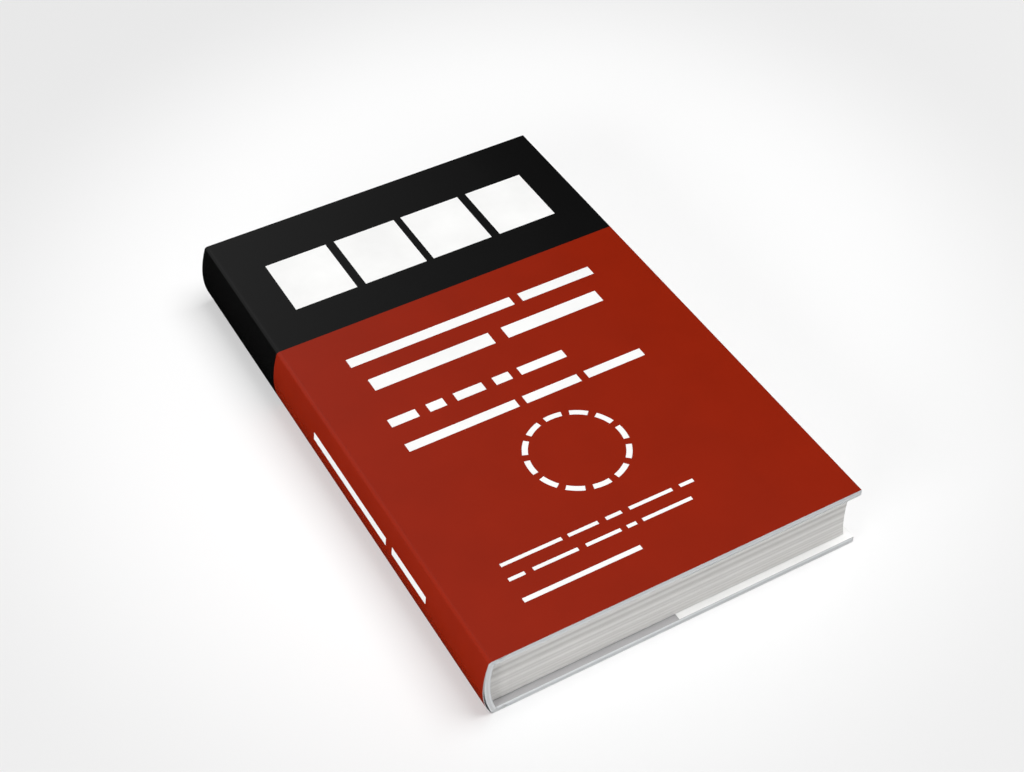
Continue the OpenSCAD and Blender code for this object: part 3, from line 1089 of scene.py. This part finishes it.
def soft_studio():
    """A soft dome: bright overhead, dimmer on the spine's side, and dark on the fore edge's side
    and below the floor."""
    world = bpy.data.worlds.new("soft_studio")
    world.use_nodes = True
    tree = world.node_tree
    tree.nodes.clear()
    place = add_node(tree, "TexCoord", {}, {}).outputs["Generated"]
    along = add_node(tree, "SeparateXYZ", {}, {0: place})
    share = add_node(
        tree, "MapRange", {}, {"Value": along.outputs[0], "From Min": -1.0, "From Max": 1.0}
    ).outputs[0]
    dome = add_node(tree, "ValToRGB", {}, {"Fac": share})
    set_ramp(dome, [(0.35, grey(0.36)), (0.55, grey(0.6)), (0.69, grey(0.0))])
    above = add_node(tree, "MapRange", {}, {"Value": along.outputs[2], "From Max": 0.1}).outputs[0]
    # Full towards the head only
    deep = add_node(
        tree, "MapRange", {},
        {"Value": along.outputs[1], "From Min": 0.6, "From Max": 0.72, "To Min": 0.6},
    ).outputs[0]
    strength = add_node(
        tree, "Math", {"operation": "MULTIPLY"}, {0: dome.outputs[0], 1: above}
    ).outputs[0]
    strength = add_node(
        tree, "Math", {"operation": "MULTIPLY"}, {0: strength, 1: deep}
    ).outputs[0]
    light = add_node(tree, "Background", {}, {"Color": grey(1.0), "Strength": strength})
    seen = add_node(tree, "Background", {}, {"Color": grey(1.0), "Strength": WALL_LEVEL})
    path = add_node(tree, "LightPath", {}, {})
    direct = add_node(
        tree, "Math", {"operation": "MAXIMUM"},
        {0: path.outputs["Is Camera Ray"], 1: path.outputs["Is Transmission Ray"]},
    ).outputs[0]
    both = add_node(tree, "MixShader", {}, {0: direct, 1: light.outputs[0], 2: seen.outputs[0]})
    add_node(tree, "OutputWorld", {}, {"Surface": both.outputs[0]})
    return world


class BOOK_OT_stage(bpy.types.Operator):
    """Adds the floor, the soft light and the camera"""

    bl_idname = "book.stage"
    bl_label = "Stage"

    def execute(self, context):
        scene = context.scene
        scene.view_settings.view_transform = "Standard"
        clear_selection()
        bpy.ops.mesh.primitive_plane_add(size=FLOOR_SIZE, location=(0, 0, -FLOOR_DROP))
        floor = bpy.context.object
        floor.name = "floor"
        floor.data.materials.append(floor_paper())
        # The floor's mirror image stays off the spine, as a black card keeps it off in a studio
        floor.visible_glossy = False
        scene.world = soft_studio()
        add_area("key_light", *KEY_LIGHT)
        fill = add_area("spine_fill", *SPINE_FILL)
        fill.visible_glossy = False  # its mirror image would wipe out the print from the far side

        data = bpy.data.cameras.new("camera")
        camera = bpy.data.objects.new("camera", data)
        scene.collection.objects.link(camera)
        forward = Vector(CAMERA_FORWARD).normalized()
        right = Vector(CAMERA_RIGHT)
        right = (right - forward * right.dot(forward)).normalized()
        up = right.cross(forward)
        turn = Matrix((right, up, -forward)).transposed().to_4x4()
        camera.matrix_world = Matrix.Translation(CAMERA_PLACE) @ turn
        data.sensor_width = 36.0
        data.lens = CAMERA_LENS
        data.clip_start, data.clip_end = 0.01, 50.0
        scene.camera = camera
        return {"FINISHED"}


STEPS = ("leaves", "lining", "endpapers", "case", "jacket", "stage")


class BOOK_PT_panel(bpy.types.Panel):
    """Lists the sizes, the colours and the steps that build the book"""

    bl_idname = "BOOK_PT_panel"
    bl_label = "Hardback book"
    bl_space_type = "VIEW_3D"
    bl_region_type = "UI"
    bl_category = "Book"

    def draw(self, context):
        layout = self.layout
        for group in (context.scene.book_sizes, context.scene.book_colours):
            box = layout.box()
            for name in group.__annotations__:
                box.prop(group, name)
        for step in STEPS:
            layout.operator("book." + step)


CLASSES = (
    BookSizes,
    BookColours,
    BOOK_OT_leaves,
    BOOK_OT_lining,
    BOOK_OT_endpapers,
    BOOK_OT_case,
    BOOK_OT_jacket,
    BOOK_OT_stage,
    BOOK_PT_panel,
)


def register():
    for item in CLASSES:
        bpy.utils.register_class(item)
    bpy.types.Scene.book_sizes = bpy.props.PointerProperty(type=BookSizes)
    bpy.types.Scene.book_colours = bpy.props.PointerProperty(type=BookColours)


def unregister():
    del bpy.types.Scene.book_colours
    del bpy.types.Scene.book_sizes
    for item in reversed(CLASSES):
        bpy.utils.unregister_class(item)


def main():
    register()
    for step in STEPS:
        getattr(bpy.ops.book, step)()
    clear_selection()


if __name__ == "__main__":
    main()
